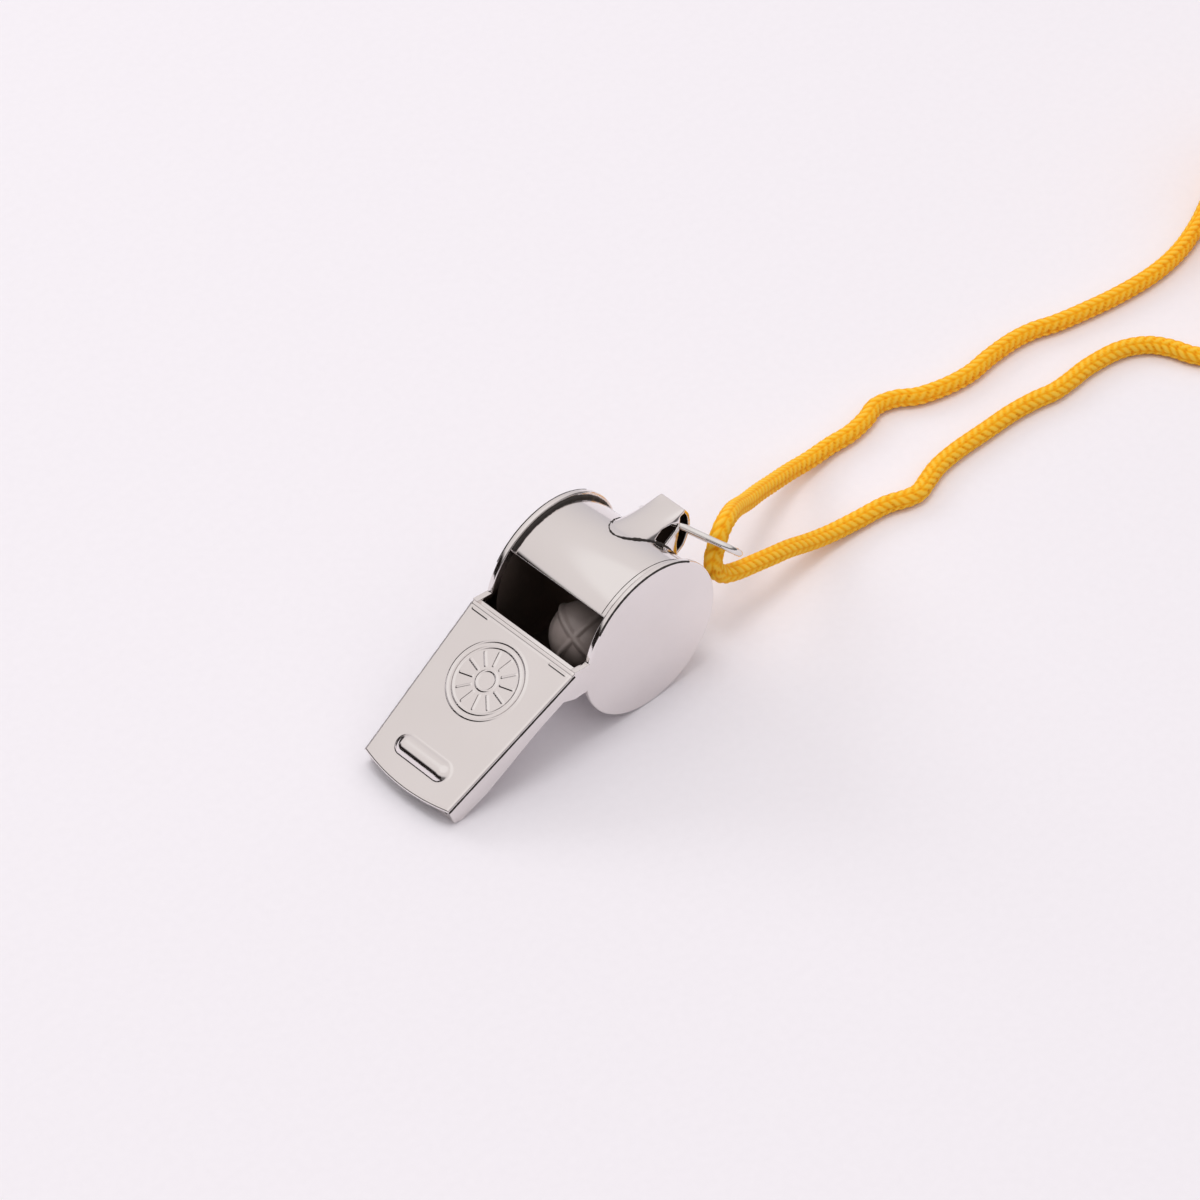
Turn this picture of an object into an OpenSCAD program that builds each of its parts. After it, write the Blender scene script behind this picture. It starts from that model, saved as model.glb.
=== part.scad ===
// Sports whistle in plated pressed steel, with a pea, a wire link and a cord lanyard.
// X runs from the mouthpiece to the barrel, Z is up. The whistle lies as it does on a table,
// on its two round side plates and on the tip of its mouthpiece.

/* [Barrel] */
// Diameter of the round ends of the side plates
disc_d = 21.2; // [19:0.2:24]
// Width over the two side plates
barrel_w = 17.6; // [15:0.2:22]
// Thickness of each side plate
side_t = 0.8; // [0.5:0.1:1.2]
// How far the side plates' rims stand proud of the barrel wall
rim_stand = 0.7; // [0.4:0.1:1]
// Thickness of the sheet that the other pieces are pressed from
sheet_t = 0.5; // [0.3:0.05:0.7]
// Chamfer on the side plates' rims
rim_chamfer = 0.15; // [0.05:0.05:0.3]
// Angle of the labium, the window's back edge, round the barrel axis from its back
labium_angle = 133; // [126:1:138]

/* [Mouthpiece] */
// Length from the mouthpiece's tip to the back of the barrel
body_l = 42.6; // [40:0.2:48]
// Distance from the tip to the roof's back edge at the window
roof_run = 19.5; // [17:0.5:20]
// Height of the roof's top at the tip
tip_h = 2.7; // [2.5:0.1:3.5]
// Height of the roof's top at the window
roof_h = 13.5; // [12.5:0.1:14]
// Width of the mouthpiece at the tip
tip_w = 14.5; // [12:0.5:16]
// How far the roof's front edge bows out
tip_bow = 0.5; // [0.3:0.1:1]
// Height of the mouthpiece where its floor meets the barrel
neck_h = 4.4; // [3.8:0.1:4.8]

/* [Bite rib and stamp] */
// Length of the raised rib that the teeth hold
rib_l = 8.6; // [6:0.2:10]
// Width of the rib
rib_w = 2.2; // [1.6:0.1:3]
// Height of the rib above the roof
rib_rise = 0.6; // [0.3:0.1:1]
// Distance from the tip to the rib's middle, along the roof
rib_at = 3.6; // [3:0.1:5]
// Outer diameter of the stamped double ring
stamp_d = 8.6; // [6:0.2:10]
// Distance from the tip to the stamp's middle, along the roof
stamp_at = 15.3; // [13:0.1:16]
// Width of a stamped line
stamp_line = 0.26; // [0.2:0.02:0.4]
// Depth of a stamped line
stamp_depth = 0.14; // [0.05:0.01:0.2]
// How many rays the stamp has
stamp_rays = 12; // [8:1:16]

/* [Windway plate] */
// Length of the plate under the roof, along the roof
windway_l = 6.6; // [4:0.2:9]
// How far the plate shows past the roof's back edge
windway_lip = 0.45; // [0.2:0.05:0.6]

/* [Pea] */
// Diameter of the pea
pea_d = 9.4; // [7:0.2:10.6]
// Clearance between the pea and the barrel wall
pea_gap = 0.3; // [0.2:0.05:1]
// Clearance between the pea and the right side plate
pea_side_gap = 1.8; // [0.4:0.1:2.6]
// Height of the pea's moulded ribs
pea_rib = 0.2; // [0.1:0.05:0.4]
// Width of the pea's moulded ribs
pea_rib_w = 0.9; // [0.5:0.1:1.5]
// Angle round the barrel axis where the pea lies
pea_angle = 205; // [190:1:270]

/* [Lug] */
// Angle of the lug's ridge round the barrel axis
lug_angle = 35; // [30:1:40]
// Height of the lug's ridge above the barrel wall
lug_h = 5; // [4.6:0.1:5.6]
// Width of the lug along its ridge
lug_w = 4; // [3.4:0.1:5]
// Width of the lug at its foot
foot_w = 7.2; // [6:0.2:8]
// Thickness of the lug's sheet
lug_t = 0.45; // [0.35:0.05:0.6]

/* [Wire link] */
// Diameter of the link's wire
wire_d = 0.9; // [0.7:0.05:1]
// Length over the link
link_l = 13.7; // [13.2:0.1:14.2]
// Width over the link
link_w = 5.4; // [5:0.1:6]
// Gap between the cut ends of the wire
link_cut = 0.25; // [0.1:0.05:0.5]

/* [Lanyard] */
// Diameter of the braided cord
cord_d = 2.4; // [2:0.1:2.8]
// Diameter across the middle of the coil's turns
coil_d = 24; // [24:0.2:28]
// How many full turns the coil has in its four layers
coil_turns = 8; // [7:1:10]
// Distance from one turn of the coil to the next
coil_pitch = 2.9; // [2.85:0.05:3.2]
// Diameter of the knot
knot_d = 6; // [5:0.2:7]
// Length of the knot
knot_l = 7; // [6:0.2:8]

/* [Hidden] */

// Colours
steel = "#D3CBC8";
pea_grey = "#6A605F";
cord_orange = "#FDB022";

// One overrun serves all cuts
over = 1;
// Sides of a full circle
round_fn = 96;

// Where the barrel's axis lies. The origin is under the middle of the whistle and its link.
frame_x = 24.5;
disc_r = disc_d / 2;
axis_x = body_l - disc_r - frame_x;
tip_x = -frame_x;
band_r = disc_r - rim_stand;
bore_r = band_r - sheet_t;
inner_w = barrel_w - 2 * side_t;

// The roof slopes from the tip up to the window
roof_slope = atan2(roof_h - tip_h, roof_run);
roof_l = roof_run / cos(roof_slope);
roof_drop = sheet_t / cos(roof_slope);
taper = atan2((barrel_w - tip_w) / 2, roof_run);
function roof_z(x) = tip_h + x * tan(roof_slope);

// The floor's underside, from the tip to the neck, as shares of the roof's run
// and of the mouthpiece's height at the neck
floor_run_shares = [0.06, 0.118, 0.31, 0.715, 0.91];
floor_deep_shares = [0.71, 0.9, 0.935, 0.68, 0.65];
floor_lift_share = 1.16;
// The first two points lie at the tip, where the whistle rests
floor_edge = [for (i = [0:4]) let (x = floor_run_shares[i] * roof_run)
    [tip_x + x, i == 1 ? 0 : max(0, roof_z(x) - floor_deep_shares[i] * neck_h)]];
neck_z = roof_h - neck_h;
floor_top_z = neck_z + sheet_t;
floor_end_x = axis_x - sqrt(pow(band_r, 2) - pow(disc_r - neck_z, 2)) + sheet_t;
floor_path = concat(floor_edge, [[floor_end_x, neck_z]]);
band_end_angle = 180 + asin((disc_r - floor_top_z) / band_r);

// The side plates' top edge runs on from the roof to the disc
neck_top_drop_share = 0.08;
neck_in_share = 0.24;

// The pea's place near the front of the chamber, where the window shows it
pea_x = axis_x + (bore_r - pea_gap - pea_d / 2) * cos(pea_angle);
pea_z = disc_r + (bore_r - pea_gap - pea_d / 2) * sin(pea_angle);
pea_y = pea_d / 2 + pea_side_gap - inner_w / 2;
pea_turn = [20, 35, 50];

// The lug's side view, along the barrel wall and out from it, as shares of its height and half foot
ridge_r = band_r + lug_h;
hood_base_angles = [41, 31, 20, 5, -13, -17];
hood_base_shares = [0.15, 0.5, 0.75, 0.92, 1, 0.97];
hood_seat = 0.3;
ridge_points_share = [[0, 1], [0.27, 0.985], [0.48, 0.84], [0.58, 0.55], [0.6, 0.1]];
crescent_share = [[-0.46, 0.02], [-0.25, 0.34], [0.02, 0.55], [-0.1, 0.3], [-0.14, 0.02]];
leaf_share = [[0.12, 0.56], [-0.04, 0.78], [0.02, 0.885], [0.3, 0.88], [0.44, 0.77], [0.49, 0.52],
    [0.5, 0.06], [0.34, 0.06], [0.2, 0.3]];
far_share = [[-0.6, 0.02], [-0.46, 0.36], [-0.28, 0.56], [-0.08, 0.75], [0.02, 0.885], [0.3, 0.88],
    [0.44, 0.77], [0.49, 0.52], [0.5, 0.06]];

// The link's place: its inner run lies under the ridge, and its plane leans out from the wall
link_lean = [-46.7, 17.4, -61.7];
link_ray_share = 0.64;
link_out_share = 0.3;
link_bend_r = (link_w - wire_d) / 2;
link_run = link_l - link_w;
link_side = -2.3;
link_past = 4.8;

// The route of the cord's free stretch, from the coil, through the link and back to the knot
cord_route = [
    [127.5, 6.2, 1.2], [121.5, 3.6, 1.2], [115.5, 1.7, 1.2], [109.5, 1, 1.2], [103, 1.4, 1.2],
    [97, 2.4, 1.2], [93, 3.3, 1.2], [90, 4.3, 1.2], [86.5, 4.8, 1.2],
    [82, 4.7, 1.2], [78, 4.3, 1.2], [74, 4.7, 1.2], [70, 5.9, 1.2], [67.4, 7.6, 1.2],
    [64.5, 8.3, 1.2], [61.8, 7.5, 1.2], [58.5, 7, 1.2], [55, 7.1, 1.3], [50.5, 6.7, 1.8],
    [46.5, 6, 3], [42, 4.6, 4.9], [37.5, 2.9, 7.2], [33, 0.8, 9.8], [29.3, -1.2, 12.6],
    [26.7, -2.8, 14.4], [24.6, -4, 15.2], [23.2, -4.6, 14.8], [22.1, -5.1, 13.7],
    [21.3, -5.4, 12.4], [21.2, -5.7, 11], [22.5, -5.9, 9.3], [25, -5.9, 8.2], [28, -5.7, 7.2],
    [31.5, -5.4, 6], [35, -5, 4.7], [39, -4.7, 3],
    [43, -4.6, 1.8], [47.5, -4.8, 1.25], [52, -5.3, 1.2], [54.8, -6.3, 1.2], [56.8, -6.6, 1.2],
    [59, -5.9, 1.2], [62, -5, 1.2], [66, -4.6, 1.2], [71, -4.6, 1.2], [76, -4.6, 1.2],
    [80, -5, 1.2], [83, -5.6, 1.2], [86, -5.6, 1.2], [90, -5.4, 1.2], [95, -6, 1.2],
    [98.4, -7.8, 1.2], [100.2, -10.4, 1.2], [101.2, -13.2, 1.2], [102.8, -15.4, 1.2],
    [105.2, -16.39, 1.2]];
cord_sides = 8;

// The coil lies on the table past the end of the route
coil_mid = [136.9, -7.2];
coil_in_angle = 90;
coil_out_angle = 260;
coil_rings = 24;
coil_sides = 6;
coil_lead = 4;
coil_tail = 20;
layer_rise = coil_pitch;
coil_layers = 4;

// A point on a plane around the barrel axis, from its distance along the wall and out from the axis
function around(u, v) = [axis_x + u * sin(lug_angle) + v * cos(lug_angle),
    disc_r - u * cos(lug_angle) + v * sin(lug_angle)];
function at_lug(share) = around(share[0] * lug_h, band_r + share[1] * lug_h);

function unit(v) = v / norm(v);
function path_length(p, i = 1) = i >= len(p) ? 0 : norm(p[i] - p[i - 1]) + path_length(p, i + 1);

// The direction of a path at each point, level across and square to it
function heading(p, i) = unit(p[min(i + 1, len(p) - 1)] - p[max(i - 1, 0)]);
function across(h) = norm([h[0], h[1]]) > 0 ? unit([-h[1], h[0], 0]) : [1, 0, 0];

// Frames that don't twist: each one is the last one turned onto the next heading
function carried(side, h) = unit(side - h * (side * h));
function sides_along(p, i = 0, last = undef) = i >= len(p) ? [] :
    let (h = heading(p, i), s = carried(is_undef(last) ? across(h) : last, h))
    concat([s], sides_along(p, i + 1, s));

// Points of one unbroken round tube along a path, and its faces
module tube(p, d, n) {
    side = sides_along(p);
    ring = [for (i = [0:len(p) - 1]) let (h = heading(p, i), s = side[i], t = cross(h, s))
        for (k = [0:n - 1]) p[i] + d / 2 * (s * cos(360 * k / n) + t * sin(360 * k / n))];
    last = len(p) - 1;
    polyhedron(points = concat(ring, [p[0], p[last]]), faces = concat(
        [for (i = [0:last - 1], k = [0:n - 1]) [i * n + k, i * n + (k + 1) % n, (i + 1) * n + k]],
        [for (i = [0:last - 1], k = [0:n - 1])
            [i * n + (k + 1) % n, (i + 1) * n + (k + 1) % n, (i + 1) * n + k]],
        [for (k = [0:n - 1]) [len(ring), (k + 1) % n, k]],
        [for (k = [0:n - 1]) [len(ring) + 1, last * n + k, last * n + (k + 1) % n]]),
        convexity = 10);
}

// The coil winds in through the first layer and out through the next, and so on. It climbs
// a layer in each half turn where it reverses. Its turns run clockwise from lead-in to tail.
coil_sweep = 360 * coil_turns + (coil_in_angle - coil_out_angle + 360) % 360;
coil_span = (coil_sweep - 180 * (coil_layers - 1)) / coil_layers;
coil_step = 360 / coil_rings;
coil_out_r = coil_d / 2 + coil_pitch * coil_span / 720;
coil_in_r = coil_d / 2 - coil_pitch * coil_span / 720;
function coil_layer(a) = floor(a / (coil_span + 180));
function coil_along(a) = a - coil_layer(a) * (coil_span + 180);
function coil_wound(b) = coil_pitch / 360 * (b < coil_span + 90 ? b : 2 * coil_span + 180 - b);
function coil_radius(a) = coil_layer(a) % 2 == 0 ? coil_out_r - coil_wound(coil_along(a))
    : coil_in_r + coil_wound(coil_along(a));
function coil_climb(a) = let (b = coil_along(a) - coil_span)
    layer_rise * (coil_layer(a) + (b < 0 ? 0 : (1 - cos(b)) / 2));
function coil_point(a) = let (t = coil_in_angle - a, r = coil_radius(a))
    [coil_mid[0] + r * cos(t), coil_mid[1] + r * sin(t), cord_d / 2 + coil_climb(a)];
coil_turning = [for (i = [0:floor(coil_sweep / coil_step)]) coil_point(i * coil_step)];
coil_last = coil_point(coil_sweep);
coil_off = [sin(coil_out_angle), -cos(coil_out_angle), 0];
// The tail leaves the top layer straight, and comes down once it is clear of the turns below
tail_shares = [0.25, 0.4, 0.53, 0.65, 0.77, 0.87, 1];
tail_high_shares = [1, 0.97, 0.84, 0.54, 0.18, 0, 0];
coil_tail_points = [for (i = [0:6]) [coil_last[0], coil_last[1], cord_d / 2]
    + coil_off * tail_shares[i] * coil_tail
    + [0, 0, tail_high_shares[i] * layer_rise * (coil_layers - 1)]];
coil_lead_point = coil_turning[0] - [coil_lead, 0, 0];
coil_path = concat([coil_lead_point], coil_turning, coil_tail_points);
knot_at = coil_tail_points[6];
cord_end = knot_at + coil_off * knot_l;
cord_path = concat([coil_lead_point], cord_route, [cord_end]);

// The least gap between turns of the coil, measured on its own points
function gap_from(p, i, skip) = min([for (j = [i + skip:len(p) - 1]) norm(p[i] - p[j])]);
coil_least = min([for (i = [0:len(coil_path) - 1 - coil_rings / 2])
    gap_from(coil_path, i, coil_rings / 2)]) - cord_d;
echo(coil_least_gap = coil_least);
echo(coil_length = path_length(coil_path), cord_length = path_length(cord_path));

// The part of the plan that the mouthpiece fills, inset from its tapered sides
module plan(inset, from, to) {
    half_a = tip_w / 2 + (barrel_w - tip_w) / 2 * from / roof_run - inset;
    half_b = tip_w / 2 + (barrel_w - tip_w) / 2 * to / roof_run - inset;
    translate([tip_x, 0, -over]) linear_extrude(disc_d + 2 * over)
        polygon([[from, -half_a], [to, -half_b], [to, half_b], [from, half_a]]);
}

// A shape drawn in the side view, made as wide as it is told along the barrel's axis
module sideways(width, y = 0) {
    translate([0, y, 0]) rotate([90, 0, 0]) linear_extrude(width, center = true) children();
}

module on_roof(s, y = 0) {
    translate([tip_x, 0, tip_h]) rotate([0, -roof_slope, 0]) translate([s, y, 0]) children();
}

// Wall of the chamber: one strip bent round from the labium to the mouthpiece's floor
module barrel_band() color(steel) {
    reach = disc_d;
    difference() {
        translate([axis_x, 0, disc_r]) rotate([90, 0, 0])
            cylinder(r = band_r, h = inner_w, center = true, $fn = round_fn);
        translate([axis_x, 0, disc_r]) rotate([90, 0, 0])
            cylinder(r = bore_r, h = inner_w + 2 * over, center = true, $fn = round_fn);
        translate([axis_x, 0, disc_r]) sideways(inner_w + 2 * over) polygon([[0, 0],
            reach * [cos(labium_angle), sin(labium_angle)],
            reach * [-1, sin(labium_angle) / 2],
            reach * [cos(band_end_angle), sin(band_end_angle)]]);
    }
}

// Floor of the mouthpiece: a folded strip from the tip to the front of the barrel
module mouthpiece_floor() color(steel) {
    lift = [0, sheet_t * floor_lift_share];
    n = len(floor_path);
    difference() {
        intersection() {
            sideways(barrel_w) polygon(concat(floor_path,
                [for (i = [n - 1:-1:0]) floor_path[i] + (i == n - 1 ? [0, sheet_t] : lift)]));
            union() {
                plan(side_t / cos(taper), 0, roof_run);
                translate([tip_x + roof_run - sheet_t, -inner_w / 2, -over])
                    cube([roof_run, inner_w, disc_d]);
            }
        }
        translate([axis_x, 0, disc_r]) rotate([90, 0, 0])
            cylinder(r = band_r, h = barrel_w, center = true, $fn = round_fn);
    }
}

// Roof of the mouthpiece: a tapered plate with a raised bite rib and a stamped ring of rays
module mouthpiece_roof() color(steel) {
    bow_r = pow(tip_w, 2) / 8 / tip_bow + tip_bow / 2;
    difference() {
        union() {
            on_roof(0) translate([0, 0, -sheet_t]) linear_extrude(sheet_t) intersection() {
                polygon([[0, -tip_w / 2], [roof_l, -barrel_w / 2], [roof_l, barrel_w / 2],
                    [0, tip_w / 2]]);
                translate([bow_r, 0]) circle(r = bow_r, $fn = round_fn);
            }
            on_roof(rib_at) bite_rib();
        }
        on_roof(stamp_at) stamp();
    }
}

module bite_rib() {
    end = (rib_l - rib_w) / 2;
    swell = rib_w / 2;
    round_r = (pow(swell, 2) + pow(rib_rise, 2)) / 2 / rib_rise;
    intersection() {
        translate([-swell, -rib_l / 2, 0]) cube([rib_w, rib_l, rib_rise]);
        union() {
            translate([0, 0, rib_rise - round_r]) rotate([90, 0, 0])
                cylinder(r = round_r, h = 2 * end, center = true, $fn = round_fn);
            for (side = [-1, 1]) translate([0, side * end, rib_rise - round_r])
                sphere(r = round_r, $fn = round_fn);
        }
    }
}

// Two rings with short rays between them, pressed in as fine lines
module stamp() {
    gap = stamp_d / 10;
    translate([0, 0, -stamp_depth]) {
        for (d = [stamp_d, stamp_d - 2 * gap, stamp_d / 3]) linear_extrude(over) difference() {
            circle(d = d, $fn = round_fn);
            circle(d = d - 2 * stamp_line, $fn = round_fn);
        }
        for (i = [0:stamp_rays - 1]) rotate([0, 0, 360 * i / stamp_rays])
            translate([stamp_d / 6 + gap, -stamp_line / 2, 0])
                cube([stamp_d / 3 - 2 * gap - stamp_line, stamp_line, over]);
    }
}

// Inner plate under the roof that guides the breath at the labium
module windway_plate() color(steel) {
    intersection() {
        on_roof(roof_l - windway_l + windway_lip)
            translate([0, -barrel_w / 2, -2 * sheet_t]) cube([windway_l, barrel_w, sheet_t]);
        union() {
            plan(side_t / cos(taper), 0, roof_run);
            translate([tip_x + roof_run - over / 2, -inner_w / 2, 0])
                cube([roof_run, inner_w, disc_d]);
        }
    }
}

// One side plate: a flat disc that runs on as a wall of the mouthpiece, bent in at the neck
module side_plate(side) {
    outer = side * barrel_w / 2;
    inner = side * inner_w / 2;
    fold_x = tip_x + roof_run;
    front_x = axis_x - disc_r;
    neck_in = neck_in_share * disc_r;
    wall_top = [for (x = [roof_run, sheet_t]) [tip_x + x, roof_z(x) - roof_drop]];
    edge = disc_r - rim_chamfer;
    translate([axis_x, inner, disc_r]) rotate([side * -90, 0, 0])
        rotate_extrude($fn = round_fn) polygon([[0, 0], [edge, 0], [disc_r, rim_chamfer],
            [disc_r, side_t - rim_chamfer], [edge, side_t], [0, side_t]]);
    intersection() {
        sideways(2 * barrel_w) polygon(concat(floor_edge, [[fold_x, neck_z],
            [front_x + neck_in / 2, neck_z], [front_x + neck_in, disc_r],
            [front_x + neck_in / 2, roof_h - neck_top_drop_share * neck_h],
            [fold_x, roof_h]], wall_top));
        translate([0, 0, -over]) linear_extrude(disc_d) polygon([
            [tip_x, side * tip_w / 2], [fold_x, outer], [axis_x, outer], [axis_x, inner],
            [fold_x, inner], [tip_x, side * (tip_w / 2 - side_t)]]);
    }
}

module side_plate_left() color(steel) side_plate(1);

module side_plate_right() color(steel) side_plate(-1);

// The pea: a hollow-looking moulded ball with a seam rib and a cross rib
module pea() color(pea_grey) {
    translate([pea_x, pea_y, pea_z]) rotate(pea_turn) {
        sphere(d = pea_d - 2 * pea_rib, $fn = round_fn);
        for (turn = [0, 90]) rotate([turn, 0, 0]) rotate_extrude($fn = round_fn) intersection() {
            circle(d = pea_d, $fn = round_fn);
            translate([0, -pea_rib_w / 2]) square([pea_d, pea_rib_w]);
        }
    }
}

// Solid form of the lug's hood, less a skin of the given thickness
module hood(skin) {
    foot = foot_w / 2 - skin;
    ridge = lug_w / 2 - (skin > 0 ? -over : 0);
    hull() {
        for (i = [0:5]) let (a = hood_base_angles[i], r = band_r - hood_seat,
            p = around(-r * sin(a), r * cos(a)))
            sideways(2 * foot * hood_base_shares[i]) translate(p) square(hood_seat, center = true);
        for (s = ridge_points_share) sideways(skin > 0 ? lug_w - 2 * skin : lug_w)
            translate(around(s[0] * lug_h - (s[0] > 0 ? skin : 0),
                band_r + s[1] * lug_h - skin - lug_t / 2)) square(lug_t / 4, center = true);
    }
}

// Lug for the lanyard: a pressed hood, open from side to side, soldered to the barrel
module cord_lug() color(steel) {
    difference() {
        hood(0);
        hood(lug_t);
        for (cut = [crescent_share, leaf_share]) sideways(foot_w, -foot_w / 2)
            polygon([for (s = cut) at_lug(s)]);
        sideways(foot_w, foot_w / 2) polygon([for (s = far_share) at_lug(s)]);
        translate([axis_x, 0, disc_r]) rotate([90, 0, 0])
            cylinder(r = band_r, h = barrel_w, center = true, $fn = round_fn);
    }
}

// Wire link bent to a long loop, with its cut ends almost closed at the outer end
link_inner = at_lug([link_out_share, link_ray_share]);
module wire_link() color(steel) {
    translate([link_inner[0], link_side, link_inner[1]]) rotate(link_lean) {
        cut_angle = asin(link_cut / link_bend_r);
        x0 = link_past + wire_d / 2 - link_run;
        x1 = x0 + link_run;
        translate([0, link_bend_r, 0]) {
            for (side = [-1, 1]) translate([x0, side * link_bend_r, 0]) rotate([0, 90, 0])
                cylinder(d = wire_d, h = link_run, $fn = round_fn);
            translate([x0, 0, 0]) rotate([0, 0, 90]) rotate_extrude(angle = 180, $fn = round_fn)
                translate([link_bend_r, 0]) circle(d = wire_d, $fn = round_fn);
            translate([x1, 0, 0]) rotate([0, 0, -90])
                rotate_extrude(angle = 120 - cut_angle, $fn = round_fn)
                    translate([link_bend_r, 0]) circle(d = wire_d, $fn = round_fn);
            translate([x1, 0, 0]) rotate([0, 0, 30])
                rotate_extrude(angle = 60, $fn = round_fn)
                    translate([link_bend_r, 0]) circle(d = wire_d, $fn = round_fn);
        }
    }
}

// Free stretch of the lanyard: out from the coil, through the link and back
module lanyard_cord() color(cord_orange) tube(cord_path, cord_d, cord_sides);

// The rest of the lanyard, wound up beside it
module lanyard_coil() color(cord_orange) tube(coil_path, cord_d, coil_sides);

// Knot that joins the cord's two ends, drawn as a barrel that rests on the table
knot_shares = [[0, 0.56], [0.12, 0.86], [0.3, 1], [0.7, 1], [0.88, 0.86], [1, 0.56]];
module lanyard_knot() color(cord_orange) {
    intersection() {
        translate([knot_at[0], knot_at[1], cord_d / 2]) rotate([0, 0, coil_out_angle - 90])
            rotate([0, 90, 0]) rotate_extrude($fn = round_fn) polygon(concat([[0, 0]],
                [for (s = knot_shares) [s[1] * knot_d / 2, s[0] * knot_l]], [[0, knot_l]]));
        translate([knot_at[0] - 2 * knot_l, knot_at[1] - 2 * knot_l, 0])
            cube([4 * knot_l, 4 * knot_l, knot_d]);
    }
}

barrel_band();
mouthpiece_floor();
mouthpiece_roof();
windway_plate();
side_plate_left();
side_plate_right();
cord_lug();
pea();
wire_link();
lanyard_cord();
lanyard_coil();
lanyard_knot();
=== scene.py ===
"""Sports whistle on a pale table: nickel-plated sheets, pea, wire link and braided lanyard."""
import math

import bpy
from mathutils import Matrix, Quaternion, Vector


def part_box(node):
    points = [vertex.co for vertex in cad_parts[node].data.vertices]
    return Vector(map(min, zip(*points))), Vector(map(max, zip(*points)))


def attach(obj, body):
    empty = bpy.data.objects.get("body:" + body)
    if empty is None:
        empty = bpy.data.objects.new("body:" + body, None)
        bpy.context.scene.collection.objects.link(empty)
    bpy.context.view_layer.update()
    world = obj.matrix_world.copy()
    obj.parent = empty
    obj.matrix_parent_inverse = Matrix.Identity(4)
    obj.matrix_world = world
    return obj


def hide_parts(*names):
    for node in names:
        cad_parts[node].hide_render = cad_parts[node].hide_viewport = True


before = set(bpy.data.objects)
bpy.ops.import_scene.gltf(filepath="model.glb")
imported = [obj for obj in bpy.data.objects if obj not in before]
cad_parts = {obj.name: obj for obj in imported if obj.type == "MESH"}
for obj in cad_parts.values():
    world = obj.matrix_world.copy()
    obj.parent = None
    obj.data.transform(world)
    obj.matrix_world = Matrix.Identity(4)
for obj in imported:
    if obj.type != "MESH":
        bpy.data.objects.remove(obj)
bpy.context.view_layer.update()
MM = 0.001

# Camera: from the mouthpiece's side and above, through a long lens, so that lines that are
# parallel on the whistle stay nearly parallel in the view.
camera_target = Vector((11.75, 4.36, 5.0)) * MM
camera_azimuth = math.radians(-44.03)
camera_height = math.radians(43.985)
camera_distance = 600 * MM
camera_back = Vector((math.sin(camera_azimuth) * math.cos(camera_height),
                      -math.cos(camera_azimuth) * math.cos(camera_height),
                      math.sin(camera_height)))
camera_data = bpy.data.cameras.new("camera")
camera_data.sensor_width = 36
camera_data.lens = 148.25
camera_data.clip_start = 0.01
camera_data.clip_end = 20
camera = bpy.data.objects.new("camera", camera_data)
bpy.context.scene.collection.objects.link(camera)
camera.location = camera_target + camera_back * camera_distance
camera.rotation_euler = (-camera_back).to_track_quat("-Z", "Y").to_euler()
bpy.context.scene.camera = camera
bpy.context.scene.view_settings.view_transform = "Standard"


# Table: a sheet of pale uncoated card, laid flat, so it stays matt. It keeps the soft shadow,
# and the metal's sides mirror it.
def srgb(code):
    """The linear colour that a socket takes, from an sRGB hex value."""
    parts = [int(code[i:i + 2], 16) / 255 for i in (1, 3, 5)]
    return [c / 12.92 if c <= 0.04045 else ((c + 0.055) / 1.055) ** 2.4 for c in parts] + [1]


def add(material, kind, links=(), inputs=(), **settings):
    """Adds a node, sets its values and sockets, and links sockets as (socket, node, output)."""
    node = material.node_tree.nodes.new(kind)
    for name, value in settings.items():
        setattr(node, name, value)
    for socket, value in inputs:
        node.inputs[socket].default_value = value
    for socket, source, output in links:
        material.node_tree.links.new(source.outputs[output], node.inputs[socket])
    return node


def blank(name):
    """A material with an empty node tree."""
    material = bpy.data.materials.new(name)
    material.use_nodes = True
    material.node_tree.nodes.clear()
    return material


card = blank("pale card")
card_place = add(card, "ShaderNodeTexCoord")
card_grain = add(card, "ShaderNodeTexNoise", links=[("Vector", card_place, "Object")],
                 inputs=[("Scale", 900), ("Detail", 3)])
card_tone = add(card, "ShaderNodeMix", data_type="RGBA", links=[("Factor", card_grain, "Fac")],
                inputs=[("A", srgb("#F1EEF4")), ("B", srgb("#F5F2F8"))])
card_bsdf = add(card, "ShaderNodeBsdfPrincipled", links=[("Base Color", card_tone, "Result")],
                inputs=[("Roughness", 0.9), ("Specular IOR Level", 0.1)])
add(card, "ShaderNodeOutputMaterial", links=[("Surface", card_bsdf, "BSDF")])
bpy.ops.object.select_all(action="DESELECT")
bpy.ops.mesh.primitive_plane_add(size=6, location=(0, 0, 0))
table = bpy.context.object
table.name = "table"
table.data.materials.append(card)

# Light: a white tent, with one soft lamp at the back and one above that only light the matt
# surfaces. The tent is open and dark low in front of the whistle, beyond its tip and behind it,
# which draws dark lines on the rounded metal edges.
world = bpy.data.worlds.new("light tent")
bpy.context.scene.world = world
world.use_nodes = True
world.node_tree.nodes.clear()
tent_way = add(world, "ShaderNodeTexCoord")
tent_up = add(world, "ShaderNodeSeparateXYZ", links=[("Vector", tent_way, "Generated")])
tent_ramp = add(world, "ShaderNodeValToRGB", links=[("Fac", tent_up, "Z")])
tent_ramp.color_ramp.elements[0].position = 0.0
tent_ramp.color_ramp.elements[0].color = srgb("#D6D2D6")
tent_ramp.color_ramp.elements[1].position = 0.6
tent_ramp.color_ramp.elements[1].color = srgb("#ECE7E6")
for tent_z, tent_white in ((0.8, "#F0EBEA"), (0.87, "#FCF9F8")):
    tent_band = tent_ramp.color_ramp.elements.new(tent_z)
    tent_band.color = srgb(tent_white)
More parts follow.
